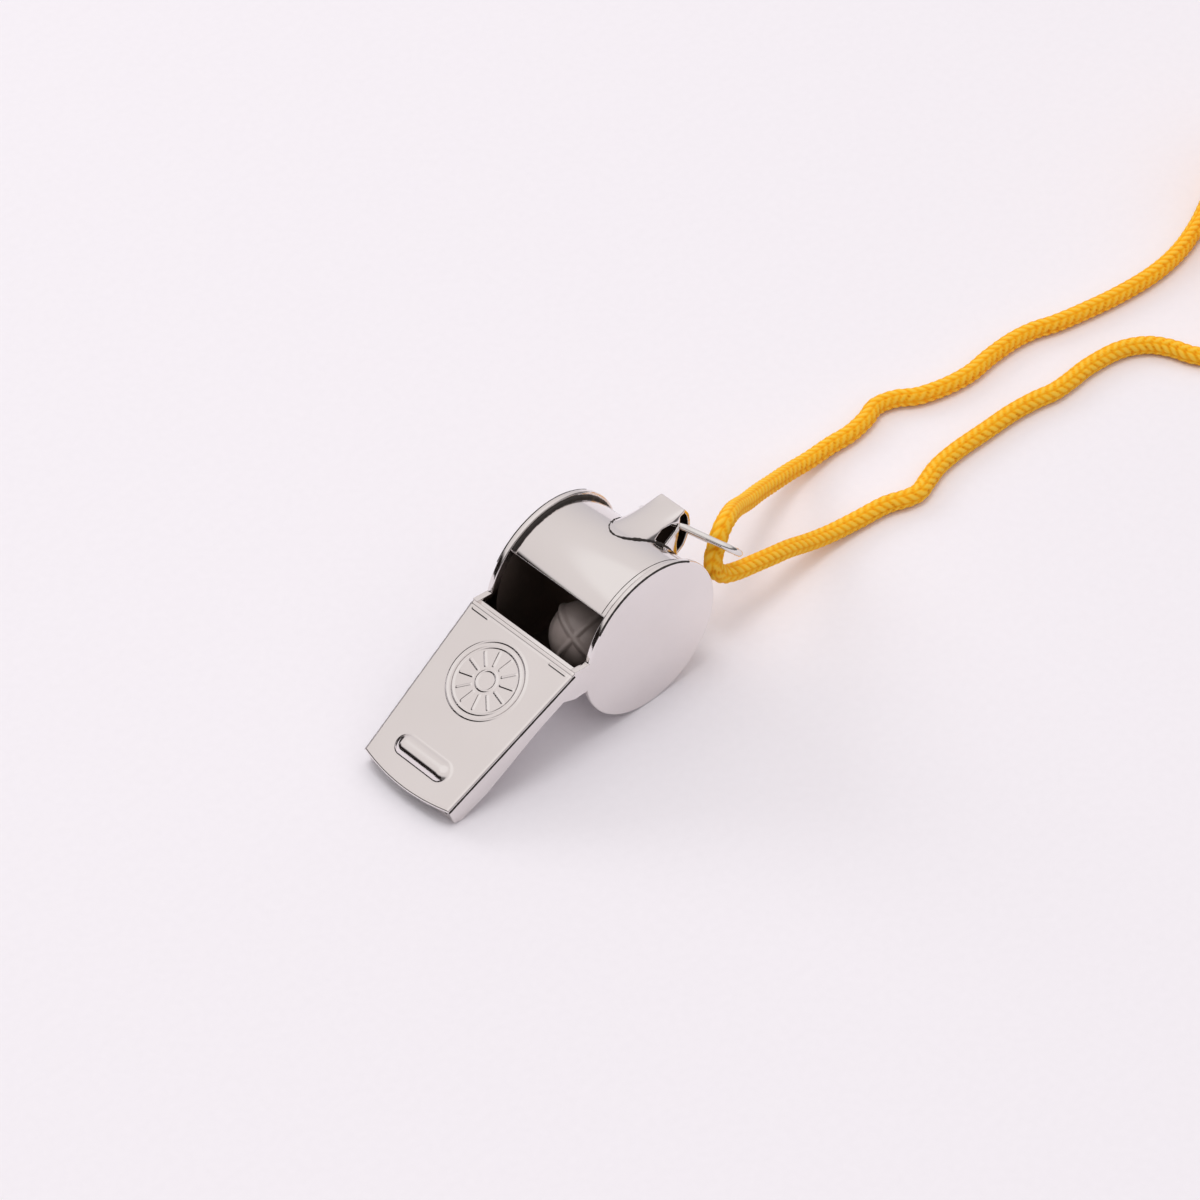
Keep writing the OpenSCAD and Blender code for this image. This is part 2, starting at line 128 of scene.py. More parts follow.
tent_low = add(world, "ShaderNodeMapRange", links=[("Value", tent_up, "Z")],
               inputs=[("From Min", 0.38), ("From Max", 0.5), ("To Min", 1), ("To Max", 0)])
tent_beyond = add(world, "ShaderNodeVectorMath", operation="DOT_PRODUCT",
                  links=[(0, tent_way, "Generated")], inputs=[(1, (-0.95, 0.3, 0))])
tent_tip = add(world, "ShaderNodeMapRange", links=[("Value", tent_beyond, "Value")],
               inputs=[("From Min", 0.58), ("From Max", 0.7)])
tent_back = add(world, "ShaderNodeMapRange", links=[("Value", tent_up, "Y")],
                inputs=[("From Min", 0.88), ("From Max", 0.93)])
tent_around = add(world, "ShaderNodeMath", operation="MAXIMUM",
                  links=[(0, tent_tip, "Result"), (1, tent_back, "Result")])
tent_gap = add(world, "ShaderNodeMath", operation="MULTIPLY",
               links=[(0, tent_low, "Result"), (1, tent_around, "Value")])
tent_open = add(world, "ShaderNodeMapRange", links=[("Value", tent_up, "Y")],
                inputs=[("From Min", 0.05), ("From Max", -0.25), ("To Min", 0), ("To Max", 0.8)])
tent_under = add(world, "ShaderNodeMapRange", links=[("Value", tent_up, "Z")],
                 inputs=[("From Min", 0.34), ("From Max", 0.5), ("To Min", 1), ("To Max", 0)])
tent_front = add(world, "ShaderNodeMath", operation="MULTIPLY",
                 links=[(0, tent_open, "Result"), (1, tent_under, "Result")])
tent_dark = add(world, "ShaderNodeMath", operation="MAXIMUM",
                links=[(0, tent_gap, "Value"), (1, tent_front, "Value")])
tent_tone = add(world, "ShaderNodeMix", data_type="RGBA",
                links=[("Factor", tent_dark, "Value"), ("A", tent_ramp, "Color")],
                inputs=[("B", srgb("#1E1917"))])
tent_light = add(world, "ShaderNodeBackground", links=[("Color", tent_tone, "Result")],
                 inputs=[("Strength", 0.98)])
add(world, "ShaderNodeOutputWorld", links=[("Surface", tent_light, "Background")])
for lamp_name, lamp_place, lamp_size, lamp_power in (
        ("back softbox", (-0.15, 1.06, 0.55), 0.6, 2.8),
        ("top softbox", (-0.1, 0.04, 1.28), 0.5, 3)):
    lamp_data = bpy.data.lights.new(lamp_name, "AREA")
    lamp_data.shape = "DISK"
    lamp_data.size = lamp_size
    lamp_data.energy = lamp_power
    lamp = bpy.data.objects.new(lamp_name, lamp_data)
    bpy.context.scene.collection.objects.link(lamp)
    lamp.visible_glossy = False
    lamp.location = lamp_place
    lamp.rotation_euler = (-Vector(lamp_place)).to_track_quat("-Z", "Y").to_euler()

# Lanyard: one round cord of braided polyester, tied in a loop through the wire link.
# It lies loose on the table, and the rest of its length is wound up beside it in four layers.
cord_d = 2.4
cord_route = [
    (127.5, 6.2, 1.2), (121.5, 3.6, 1.2), (115.5, 1.7, 1.2), (109.5, 1, 1.2),
    (103, 1.4, 1.2), (97, 2.4, 1.2), (93, 3.3, 1.2), (90, 4.3, 1.2), (86.5, 4.8, 1.2),
    (82, 4.7, 1.2), (78, 4.3, 1.2), (74, 4.7, 1.2), (70, 5.9, 1.2), (67.4, 7.6, 1.2),
    (64.5, 8.3, 1.2), (61.8, 7.5, 1.2), (58.5, 7, 1.2), (55, 7.1, 1.3), (50.5, 6.7, 1.8),
    (46.5, 6, 3), (42, 4.6, 4.9), (37.5, 2.9, 7.2), (33, 0.8, 9.8), (29.3, -1.2, 12.6),
    (26.7, -2.8, 14.4), (24.6, -4, 15.2), (23.2, -4.6, 14.8), (22.1, -5.1, 13.7),
    (21.3, -5.4, 12.4), (21.2, -5.7, 11), (22.5, -5.9, 9.3), (25, -5.9, 8.2), (28, -5.7, 7.2),
    (31.5, -5.4, 6), (35, -5, 4.7), (39, -4.7, 3),
    (43, -4.6, 1.8), (47.5, -4.8, 1.25), (52, -5.3, 1.2), (54.8, -6.3, 1.2),
    (56.8, -6.6, 1.2), (59, -5.9, 1.2), (62, -5, 1.2), (66, -4.6, 1.2),
    (71, -4.6, 1.2), (76, -4.6, 1.2), (80, -5, 1.2), (83, -5.6, 1.2),
    (86, -5.6, 1.2), (90, -5.4, 1.2), (95, -6, 1.2), (98.4, -7.8, 1.2),
    (100.2, -10.4, 1.2), (101.2, -13.2, 1.2), (102.8, -15.4, 1.2), (105.2, -16.39, 1.2)]
bend_at = 29
coil_centre = (136.9, -7.2)
coil_d, coil_turns, coil_layers, coil_pitch = 24, 8, 4, 2.9
coil_in_angle, coil_out_angle = 90, 260
coil_lead, coil_tail = 4, 20
knot_l = 7
coil_sweep = 360 * coil_turns + (coil_in_angle - coil_out_angle) % 360
coil_span = (coil_sweep - 180 * (coil_layers - 1)) / coil_layers


def coil_point(a):
    """The coil's centreline, a degrees on from where the cord comes in."""
    layer, along = divmod(a, coil_span + 180)
    wound = coil_pitch / 360 * (along if along < coil_span + 90 else 2 * coil_span + 180 - along)
    wide = coil_pitch * coil_span / 720
    r = coil_d / 2 + (wide - wound if layer % 2 == 0 else wound - wide)
    climb = layer + (0 if along < coil_span else (1 - math.cos(math.radians(along - coil_span))) / 2)
    t = math.radians(coil_in_angle - a)
    return Vector((coil_centre[0] + r * math.cos(t), coil_centre[1] + r * math.sin(t),
                   cord_d / 2 + coil_pitch * climb))


coil = [coil_point(a) for a in range(0, coil_sweep + 1, 15)]
coil_off = Vector((math.sin(math.radians(coil_out_angle)),
                   -math.cos(math.radians(coil_out_angle)), 0))
coil_end = coil_point(coil_sweep)
tail = [Vector((coil_end.x, coil_end.y, cord_d / 2)) + coil_off * coil_tail * share
        + Vector((0, 0, coil_pitch * (coil_layers - 1) * high))
        for share, high in ((0.25, 1), (0.4, 0.97), (0.53, 0.84), (0.65, 0.54), (0.77, 0.18),
                            (0.87, 0), (1, 0))]
knot_start = tail[-1]
knot_end = knot_start + coil_off * knot_l
up_strand = [Vector(p) for p in reversed(cord_route[:bend_at + 1])]
down_strand = [Vector(p) for p in reversed(cord_route[bend_at + 1:])]
wound_away = [coil[0] - Vector((coil_lead, 0, 0))] + coil + tail + [knot_end]
loop = up_strand + wound_away + down_strand


def through(points, closed, fine_step, coarse_step=None, coarse_from=None, coarse_to=None):
    """A smooth line through the points, how far along each of its places lies, and its length.

    Its steps are coarse from one of the points to another, if they are given."""
    first_step = 0.1
    n = len(points)
    dense, where = [], []
    for i in range(n if closed else n - 1):
        a, b, c, d = (points[(i + k - 1) % n] if closed else points[min(max(i + k - 1, 0), n - 1)]
                      for k in range(4))
        parts = max(2, round((c - b).length / first_step))
        for k in range(parts):
            t = k / parts
            dense.append(0.5 * (2 * b + (c - a) * t + (2 * a - 5 * b + 4 * c - d) * t * t
                                + (3 * b - a - 3 * c + d) * t * t * t))
            where.append(i)
    if not closed:
        dense.append(points[-1])
        where.append(n - 1)
    line, at, walked, passed = [dense[0]], [0], 0, 0
    for i in range(1, len(dense) + closed):
        step = (dense[i % len(dense)] - dense[i - 1]).length
        walked += step
        passed += step
        coarse = coarse_from is not None and coarse_from <= where[i - 1] < coarse_to
        if passed >= (coarse_step if coarse else fine_step) and i < len(dense) - closed:
            line.append(dense[i])
            at.append(walked)
            passed = 0
    return line, at, walked


def braided(name, line, at, whole, closed, thin=None):
    """A braided cord along a line: slanted stitches in rows, each row leaning the other way."""
    cord_sides, stitch_rows, stitch, lean, deep = 36, 6, 1.2, 0.42, 0.23
    count = len(line)
    stitches = round(whole / stitch)
    heads = [(line[(i + 1) % count if closed else min(i + 1, count - 1)]
              - line[i - 1 if closed else max(i - 1, 0)]).normalized() for i in range(count)]
    sides = [heads[0].orthogonal().normalized()]
    for i in range(1, count):
        sides.append((heads[i - 1].rotation_difference(heads[i]) @ sides[-1]).normalized())
    twist = 0
    if closed:
        closing = heads[-1].rotation_difference(heads[0]) @ sides[-1]
        twist = math.atan2(heads[0].dot(closing.cross(sides[0])), closing.dot(sides[0]))
    verts, braid = [], []
    for i in range(count):
        out = Quaternion(heads[i], twist * i / count) @ sides[i]
        across = heads[i].cross(out)
        for k in range(cord_sides):
            row, v = divmod(k * stitch_rows / cord_sides, 1)
            v = 2 * v - 1
            u = stitches * at[i] / whole + (lean if row % 2 else -lean) * v
            pillow = (1 - abs(2 * (u % 1) - 1) ** 2.4) * (1 - 0.6 * abs(v) ** 6)
            high = pillow ** 0.5
            r = cord_d / 2 * (1 - deep + deep * high) * (thin(i / (count - 1)) if thin else 1)
            t = 2 * math.pi * k / cord_sides
            verts.append((line[i] + r * (out * math.cos(t) + across * math.sin(t))) * MM)
            braid.append(high)
    faces = [(i * cord_sides + k, i * cord_sides + (k + 1) % cord_sides,
              (i + 1) % count * cord_sides + (k + 1) % cord_sides,
              (i + 1) % count * cord_sides + k)
             for i in range(count if closed else count - 1) for k in range(cord_sides)]
    if not closed:
        faces.append(tuple(reversed(range(cord_sides))))
        faces.append(tuple(range((count - 1) * cord_sides, count * cord_sides)))
    mesh = bpy.data.meshes.new(name)
    mesh.from_pydata(verts, [], faces)
    mesh.attributes.new("braid", "FLOAT", "POINT").data.foreach_set("value", braid)
    mesh.update()
    mesh.shade_smooth()
    piece = bpy.data.objects.new(name, mesh)
    bpy.context.scene.collection.objects.link(piece)
    return piece


seen_step, coil_step = 0.24, 0.44
coil_from = len(up_strand) + 1
cord_line, cord_at, cord_length = through(loop, True, seen_step, coil_step, coil_from,
                                          coil_from + len(coil) - 1)
lanyard = braided("lanyard", cord_line, cord_at, cord_length, True)

# Braided polyester: dyed amber, soft and matt. Its stitch gaps are painted darker as shade, and
# its stitch tops lighter as a painted highlight. Its filaments are 0.02 mm thick, and are drawn
# five times coarser so that they show.
braid_cloth = blank("amber braided polyester")
braid_high = add(braid_cloth, "ShaderNodeAttribute", attribute_name="braid")
cord_place = add(braid_cloth, "ShaderNodeTexCoord")
dye = add(braid_cloth, "ShaderNodeTexNoise", inputs=[("Scale", 250), ("Detail", 3)],
          links=[("Vector", cord_place, "Object")])
# Painted shade and highlight: darker orange in the stitch gaps, lighter on the stitch tops.
stitch_shade_ramp = add(braid_cloth, "ShaderNodeValToRGB", links=[("Fac", braid_high, "Fac")])
stitch_shade_ramp.color_ramp.elements[0].position = 0.3
stitch_shade_ramp.color_ramp.elements[0].color = srgb("#F89C10")
stitch_shade_ramp.color_ramp.elements[1].position = 0.75
stitch_shade_ramp.color_ramp.elements[1].color = srgb("#FFBD24")
stitch_painted_highlight = stitch_shade_ramp.color_ramp.elements.new(1)
stitch_painted_highlight.color = srgb("#FFD04C")
cloth_tone = add(braid_cloth, "ShaderNodeMix", data_type="RGBA", blend_type="MULTIPLY",
                 links=[("A", stitch_shade_ramp, "Color"), ("Factor", dye, "Fac")],
                 inputs=[("B", srgb("#FFF6EA"))])
fibres = add(braid_cloth, "ShaderNodeTexNoise", inputs=[("Scale", 9000), ("Detail", 2)],
             links=[("Vector", cord_place, "Object")])
fibre_bump = add(braid_cloth, "ShaderNodeBump", links=[("Height", fibres, "Fac")],
                 inputs=[("Strength", 0.5), ("Distance", 0.00005)])
cloth_bsdf = add(braid_cloth, "ShaderNodeBsdfPrincipled",
                 links=[("Base Color", cloth_tone, "Result"), ("Normal", fibre_bump, "Normal")],
                 inputs=[("Roughness", 0.85), ("Sheen Weight", 0.05), ("Sheen Roughness", 0.5),
                         ("Specular IOR Level", 0.1)])
add(braid_cloth, "ShaderNodeOutputMaterial", links=[("Surface", cloth_bsdf, "BSDF")])
lanyard.data.materials.append(braid_cloth)
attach(lanyard, "whistle")
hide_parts("lanyard_cord", "lanyard_coil")

# Knot: the cord's two ends, wound three times round the cord and pulled tight. Their cut
# ends are melted so that the braid can't fray.
knot_side = Vector((-coil_off.y, coil_off.x, 0))
wrap_points, wrap_turns, wrap_step = 48, 3.1, 0.3
wrap_r, wrap_rise, wrap_inset, tuck_share = 1.85, 1.1, 1.3, 0.08
wraps = []
for i in range(wrap_points + 1):
    share = i / wrap_points
    a = 2 * math.pi * wrap_turns * share
    tuck = min(1, share / tuck_share, (1 - share) / tuck_share)
    wraps.append(knot_start + coil_off * (wrap_inset + (knot_l - 2 * wrap_inset) * share)
                 + knot_side * wrap_r * math.cos(a) * (0.45 + 0.55 * tuck)
                 + Vector((0, 0, (wrap_rise - wrap_rise * math.sin(a)) * tuck)))
knot_line, knot_at, knot_whole = through(wraps, False, wrap_step)
knot = braided("knot_wraps", knot_line, knot_at, knot_whole, False,
               lambda s: min(1, 0.45 + 7 * s, 0.45 + 7 * (1 - s)))
end_l, end_inset, end_side, end_spread, end_high = 3.6, 1.2, 1.5, 0.5, 0.9
ends = []
for side, start, way in ((1, knot_start + coil_off * end_inset, -1),
                         (-1, knot_end - coil_off * end_inset, 1)):
    stub = [start + knot_side * side * (end_side + end_spread * s) + coil_off * way * end_l * s
            + Vector((0, 0, end_high - end_high * s)) for s in (0, 0.25, 0.5, 0.75, 1)]
    stub_line, stub_at, stub_whole = through(stub, False, seen_step)
    ends.append(braided("cord_end", stub_line, stub_at, stub_whole, False,
                        lambda s: 0.86 if s < 0.9 else 0.86 * (1 - 5 * (s - 0.9))))
bpy.ops.object.select_all(action="DESELECT")
for piece in [knot] + ends:
    piece.data.materials.append(braid_cloth)
    piece.select_set(True)
bpy.context.view_layer.objects.active = knot
bpy.ops.object.join()
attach(knot, "whistle")
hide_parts("lanyard_knot")

# Barrel band, mouthpiece floor and windway plate: strips of sheet steel, cut, bent and
# soldered together, then nickel-plated. The cut edges are tumbled, so they are a little round.
barrel_x, barrel_z = 7.5, 10.6
band_r, bore_r, half_w, side_t = 9.9, 9.4, 8.8, 0.8
inner_half = half_w - side_t


def softened(node, name, width, steps=3):
    """A copy of a CAD node, with its doubles merged and its sharp edges rounded."""
    piece = bpy.data.objects.new(name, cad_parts[node].data.copy())
    bpy.context.scene.collection.objects.link(piece)
    bpy.ops.object.select_all(action="DESELECT")
    piece.select_set(True)
    bpy.context.view_layer.objects.active = piece
    bpy.ops.object.mode_set(mode="EDIT")
    bpy.ops.mesh.select_all(action="SELECT")
    bpy.ops.mesh.remove_doubles(threshold=2e-6)
    bpy.ops.mesh.dissolve_limited(angle_limit=math.radians(0.6))
    bpy.ops.object.mode_set(mode="OBJECT")
    edges = piece.modifiers.new("edges", "BEVEL")
    edges.width = width * MM
    edges.segments = steps
    edges.limit_method = "ANGLE"
    edges.angle_limit = math.radians(30)
    bpy.ops.object.modifier_apply(modifier="edges")
    bpy.ops.object.shade_smooth_by_angle(angle=math.radians(50))
    piece.data.materials.clear()
    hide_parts(node)
    return piece


# Nickel plate: bright and warm, polished on a wheel, so it mirrors softly and carries faint
# lines, haze and pits. Inside the barrel and the lug it is rougher, and painted darker as shade.
nickel = blank("polished nickel plate")
metal_place = add(nickel, "ShaderNodeTexCoord")
haze = add(nickel, "ShaderNodeTexNoise", inputs=[("Scale", 110), ("Detail", 5)],
           links=[("Vector", metal_place, "Object")])
wheel_way = add(nickel, "ShaderNodeMapping", links=[("Vector", metal_place, "Object")],
                inputs=[("Scale", (600, 9000, 600))])
wheel_lines = add(nickel, "ShaderNodeTexNoise", inputs=[("Scale", 1), ("Detail", 3)],
                  links=[("Vector", wheel_way, "Vector")])
pits = add(nickel, "ShaderNodeTexNoise", inputs=[("Scale", 2500), ("Detail", 2)],
           links=[("Vector", metal_place, "Object")])
haze_rough = add(nickel, "ShaderNodeMapRange", links=[("Value", haze, "Fac")],
                 inputs=[("From Min", 0.3), ("From Max", 0.7), ("To Min", 0.08), ("To Max", 0.14)])
metal_tone = add(nickel, "ShaderNodeMix", data_type="RGBA", links=[("Factor", haze, "Fac")],
                 inputs=[("A", srgb("#E5DFDD")), ("B", srgb("#EDE8E7"))])
from_axis = add(nickel, "ShaderNodeVectorMath", operation="SUBTRACT",
                links=[(0, metal_place, "Object")],
                inputs=[(1, (barrel_x * MM, 0, barrel_z * MM))])
in_disc = add(nickel, "ShaderNodeVectorMath", operation="MULTIPLY",
              links=[(0, from_axis, "Vector")], inputs=[(1, (1, 0, 1))])
off_axis = add(nickel, "ShaderNodeVectorMath", operation="LENGTH", links=[(0, in_disc, "Vector")])
in_bore = add(nickel, "ShaderNodeMath", operation="LESS_THAN", links=[(0, off_axis, "Value")],
              inputs=[(1, (bore_r + 0.06) * MM)])
along_axis = add(nickel, "ShaderNodeSeparateXYZ", links=[("Vector", metal_place, "Object")])
from_middle = add(nickel, "ShaderNodeMath", operation="ABSOLUTE", links=[(0, along_axis, "Y")])
between = add(nickel, "ShaderNodeMath", operation="LESS_THAN", links=[(0, from_middle, "Value")],
              inputs=[(1, (inner_half + 0.05) * MM)])
in_barrel = add(nickel, "ShaderNodeMath", operation="MULTIPLY",
                links=[(0, in_bore, "Value"), (1, between, "Value")])
in_hood = add(nickel, "ShaderNodeAttribute", attribute_name="inner")
inside = add(nickel, "ShaderNodeMath", operation="MAXIMUM",
             links=[(0, in_barrel, "Value"), (1, in_hood, "Fac")])
# Painted shade: the barrel's inside is painted a darker grey-brown.
bore_painted_shade = add(nickel, "ShaderNodeMix", data_type="RGBA",
                links=[("Factor", in_barrel, "Value"), ("A", metal_tone, "Result")],
                inputs=[("B", srgb("#A99C94"))])
# Painted shade: the lug's hollow is painted near black.
plate_painted_shade = add(nickel, "ShaderNodeMix", data_type="RGBA",
                 links=[("Factor", in_hood, "Fac"), ("A", bore_painted_shade, "Result")],
                 inputs=[("B", srgb("#241C18"))])
plate_rough = add(nickel, "ShaderNodeMix",
                  links=[("Factor", inside, "Value"), ("A", haze_rough, "Result")],
                  inputs=[("B", 0.45)])
lines_bump = add(nickel, "ShaderNodeBump", links=[("Height", wheel_lines, "Fac")],
                 inputs=[("Strength", 0.05), ("Distance", 0.00002)])
pits_bump = add(nickel, "ShaderNodeBump",
                links=[("Height", pits, "Fac"), ("Normal", lines_bump, "Normal")],
                inputs=[("Strength", 0.04), ("Distance", 0.00002)])
metal_bsdf = add(nickel, "ShaderNodeBsdfPrincipled", inputs=[("Metallic", 1)],
                 links=[("Base Color", plate_painted_shade, "Result"), ("Roughness", plate_rough, "Result"),
                        ("Normal", pits_bump, "Normal")])
add(nickel, "ShaderNodeOutputMaterial", links=[("Surface", metal_bsdf, "BSDF")])
for node, width in (("barrel_band", 0.08), ("mouthpiece_floor", 0.08), ("windway_plate", 0.06)):
    strip = softened(node, node + "_sheet", width)
    strip.data.materials.append(nickel)
    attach(strip, "whistle")

# Side plates: blanked discs that run on as the mouthpiece's walls. The band, the floor and the
# windway plate are soldered between them, and their rims stand proud of the barrel.
rim_round = 0.22
for node in ("side_plate_left", "side_plate_right"):
    plate = softened(node, node + "_sheet", rim_round, 5)
    plate.data.materials.append(nickel)
    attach(plate, "whistle")

# Mouthpiece roof: a tapered blank, pressed from below with a bite rib and a round generic
# stamp, then soldered on the walls. Its edges are rolled down, and two tabs hold its back.
tip_x, tip_h, tip_w, tip_bow, tip_lip = -24.5, 2.7, 14.5, 0.95, 0.75
roof_run, roof_rise, sheet_t = 19.5, 10.8, 0.5
rib_l, rib_w, rib_rise, rib_foot, rib_at = 8.6, 2.6, 0.6, 0.1, 3.55
stamp_r, stamp_gap, hub_r, stamp_at = 5.05, 0.75, 1.3, 15.3
line_w, line_high, ray_turn, ray_from, ray_short = 0.2, 0.13, math.pi / 6, 1.9, 1.2
crease_at, crease_w, crease_deep = 0.62, 0.13, 0.07
tab_at, tab_inset, tab_half, tab_rise = 0.95, 2.1, 1.3, 0.1
crown, rolled, roll_share, skirt = 0.1, 0.34, 0.8, 0.2
row_step, column_step = 0.088, 0.0105
roof_l = math.hypot(roof_run, roof_rise)
slope_way = Vector((roof_run / roof_l, 0, roof_rise / roof_l))
slope_up = Vector((-roof_rise / roof_l, 0, roof_run / roof_l))


def spread(low, high, edge, step):
    """Places from low to high, close together near both ends and a step apart between."""
    near = [edge * s for s in (0, 0.08, 0.2, 0.36, 0.56, 0.8)]
    n = round((high - low - 2 * edge) / step)
    return ([low + s for s in near] + [low + edge + (high - low - 2 * edge) * i / n
                                       for i in range(n + 1)]
            + [high - s for s in reversed(near)])


def ridge(distance, width, rise):
    """A pressed line's height at a distance from its middle."""
    return rise * max(0, 1 - (distance / width) ** 2) ** 1.5


def roof_relief(s, y, half):
    """How far the pressed roof stands above its flat blank."""
    across = max(0, abs(y) - (rib_l - rib_w) / 2)
    d = 1 - math.hypot(s - rib_at, across) / (rib_w / 2)
    if d > 0:
        high = rib_foot + rib_rise * (1 - (1 - d) ** 2.2)
    else:
        high = rib_foot * max(0, 1 + d * 4) ** 2
    r = math.hypot(s - stamp_at, y)
    for ring_r in (stamp_r, stamp_r - stamp_gap, hub_r):
        high += ridge(r - ring_r, line_w, line_high)
    if ray_from < r < stamp_r - ray_short:
        ray = (math.atan2(y, s - stamp_at) / ray_turn) % 1 - 0.5
        high += ridge(abs(ray) * ray_turn * r, line_w * 0.95, line_high)
    high -= crease_deep * max(0, 1 - (abs(s - roof_l + crease_at) / crease_w) ** 2)
    tab = max(0, abs(abs(y) - half + tab_inset) - tab_half)
    high += ridge(math.hypot(s - roof_l + tab_at, tab), line_w, tab_rise)
    return high - crown * (y / half) ** 2


rows = spread(0, roof_l, rolled, row_step)
columns = spread(-1, 1, rolled / 8, column_step)
bpy.ops.object.select_all(action="DESELECT")
bpy.ops.mesh.primitive_grid_add(x_subdivisions=len(rows) - 1, y_subdivisions=len(columns) - 1,
                                size=2)
roof = bpy.context.object
roof.name = "roof_sheet"
for vertex in roof.data.vertices:
    i = round((vertex.co.x + 1) / 2 * (len(rows) - 1))
    j = round((vertex.co.y + 1) / 2 * (len(columns) - 1))
    bow = tip_bow * columns[j] ** 2 - tip_lip
    s = bow + (roof_l - bow) * rows[i] / roof_l
    half = (tip_w + (2 * half_w - tip_w) * s / roof_l) / 2
    y = columns[j] * half
    edge = max(0, min(half - abs(y), s - bow, (roof_l - s) * 2))
    drop = 0 if edge >= rolled else rolled - math.sqrt(rolled ** 2 - (rolled - edge) ** 2)
    vertex.co = (Vector((tip_x, y, tip_h)) + slope_way * s
                 + slope_up * (roof_relief(s, y, half) - drop * roll_share)) * MM
bpy.ops.object.mode_set(mode="EDIT")
bpy.ops.mesh.select_all(action="DESELECT")
bpy.ops.mesh.select_non_manifold()
bpy.ops.mesh.extrude_region_move(TRANSFORM_OT_translate={
    "value": tuple(-slope_up * skirt * MM)})
bpy.ops.mesh.edge_face_add()
bpy.ops.object.mode_set(mode="OBJECT")
bpy.ops.object.shade_smooth_by_angle(angle=math.radians(60))
roof.data.materials.append(nickel)
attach(roof, "whistle")
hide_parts("mouthpiece_roof")

# Lug: a hood pressed from thin sheet, with a tongue that rises from the barrel to a ridge, and
# an end wall. It is open from side to side, so that the link passes through. Its foot is
# soldered to the barrel, and its edges are round.
lug_turn, lug_h, lug_half, lug_t = 35, 5, 2.0, 0.42
tongue_bend, tongue_ends, tongue_slack = 1.22, 15, 0.3
near_flare, far_flare, flare_from, flare_fall = 0.35, -0.2, 4.6, 3
foot_step, wall_step, cell = 0.6, 0.13, 0.075


def on_barrel(angle, y, r=band_r):
    """A point at an angle round the barrel's axis, in degrees up from +X."""
    a = math.radians(angle)
    return Vector((barrel_x + r * math.cos(a), y, barrel_z + r * math.sin(a)))


def at_lug(u, v, y):
    """A point on the lug: along the barrel's wall, up from it, and along the barrel's axis."""
    a = math.radians(lug_turn)
    return Vector((barrel_x + u * math.sin(a) + (band_r + v) * math.cos(a), y,
                   barrel_z - u * math.cos(a) + (band_r + v) * math.sin(a)))


def inside_outline(u, v, outline):
    """Whether a point of the lug's side view lies inside an outline."""
    hit = False
    for (ua, va), (ub, vb) in zip(outline, outline[1:] + outline[:1]):
        if (va > v) != (vb > v) and u < (ub - ua) * (v - va) / (vb - va) + ua:
            hit = not hit
    return hit


foot_line = [(-21, 3.3), (-15, 3.5), (-7, 3.5), (2, 3.35), (10, 3.1), (18, 2.8), (25, 2.5),
             (31, 2.1), (36.5, 1.55), (40, 0.85), (41.5, 0)]
foot = [(a, -w) for a, w in foot_line] + [(a, w) for a, w in reversed(foot_line[:-1])]

# The hood's openings and its end wall, as they stand in the lug's side view.
crescent = [(-2.6, -0.1), (-2.0, 1.4), (-1.0, 2.6), (0.2, 3.3), (-0.1, 2.2), (-0.5, 1.0),
            (-0.9, -0.1)]
leaf = [(0.6, 2.8), (-0.2, 3.9), (0.1, 4.42), (1.5, 4.4), (2.6, 3.85), (3.4, 2.6), (3.4, 0.3),
        (2.3, 0.3), (1.2, 1.2)]
far_side = [(-2.6, -0.1), (-2, 1.4), (-1, 2.6), (0.2, 3.3), (0.1, 4.42), (1.5, 4.4),
            (2.6, 3.85), (3.4, 2.6), (3.4, -0.3)]
end_wall = [(0.7, 5.0), (1.4, 4.93), (2.1, 4.65), (2.75, 4.15), (3.2, 3.5), (3.5, 2.75),
            (3.65, 1.8), (3.65, 0.9), (3.6, -0.2)]
foot_run, _, _ = through([Vector((a, w, 0)) for a, w in foot], False, foot_step)
lug_rows, lug_columns, ridge_spread = 44, len(foot_run) - 1, 2.3
wall_run, _, _ = through([Vector((0, lug_h, 0))] + [Vector((u, v, 0)) for u, v in end_wall],
                         False, wall_step)
bpy.ops.object.select_all(action="DESELECT")
bpy.ops.mesh.primitive_grid_add(x_subdivisions=lug_rows + len(wall_run) - 1,
                                y_subdivisions=lug_columns, size=2)
lug = bpy.context.object
lug.name = "lug_hood"
side_view = {}
for vertex in lug.data.vertices:
    i = round((vertex.co.x + 1) / 2 * (lug_rows + len(wall_run) - 1))
    j = round((vertex.co.y + 1) / 2 * lug_columns)
    share = min(1, max(-1, ridge_spread * (j / lug_columns * 2 - 1)))
    ridge_y = lug_half * share * (1.5 - 0.5 * share ** 2)
    if i <= lug_rows:
        a, w = foot_run[j].x, foot_run[j].y
        u0, v0 = -band_r * math.sin(math.radians(a)), band_r * (math.cos(math.radians(a)) - 1)
        rise = i / lug_rows
        bend = tongue_bend - tongue_slack * min(1, max(0, 1 - a / tongue_ends))
        u, v = u0 * (1 - rise), v0 + (lug_h - v0) * rise ** bend
        y = w + (ridge_y - w) * rise
    else:
        u, v = wall_run[i - lug_rows].x, wall_run[i - lug_rows].y
        flare = near_flare if ridge_y < 0 else far_flare
        y = ridge_y * (1 + flare * min(1, max(0, (flare_from - v) / flare_fall)))
    side_view[vertex.index] = (u, v, y)
    vertex.co = at_lug(u, v, y) * MM
bpy.ops.object.mode_set(mode="EDIT")
bpy.ops.mesh.select_mode(type="FACE")
bpy.ops.mesh.select_all(action="DESELECT")
bpy.ops.object.mode_set(mode="OBJECT")
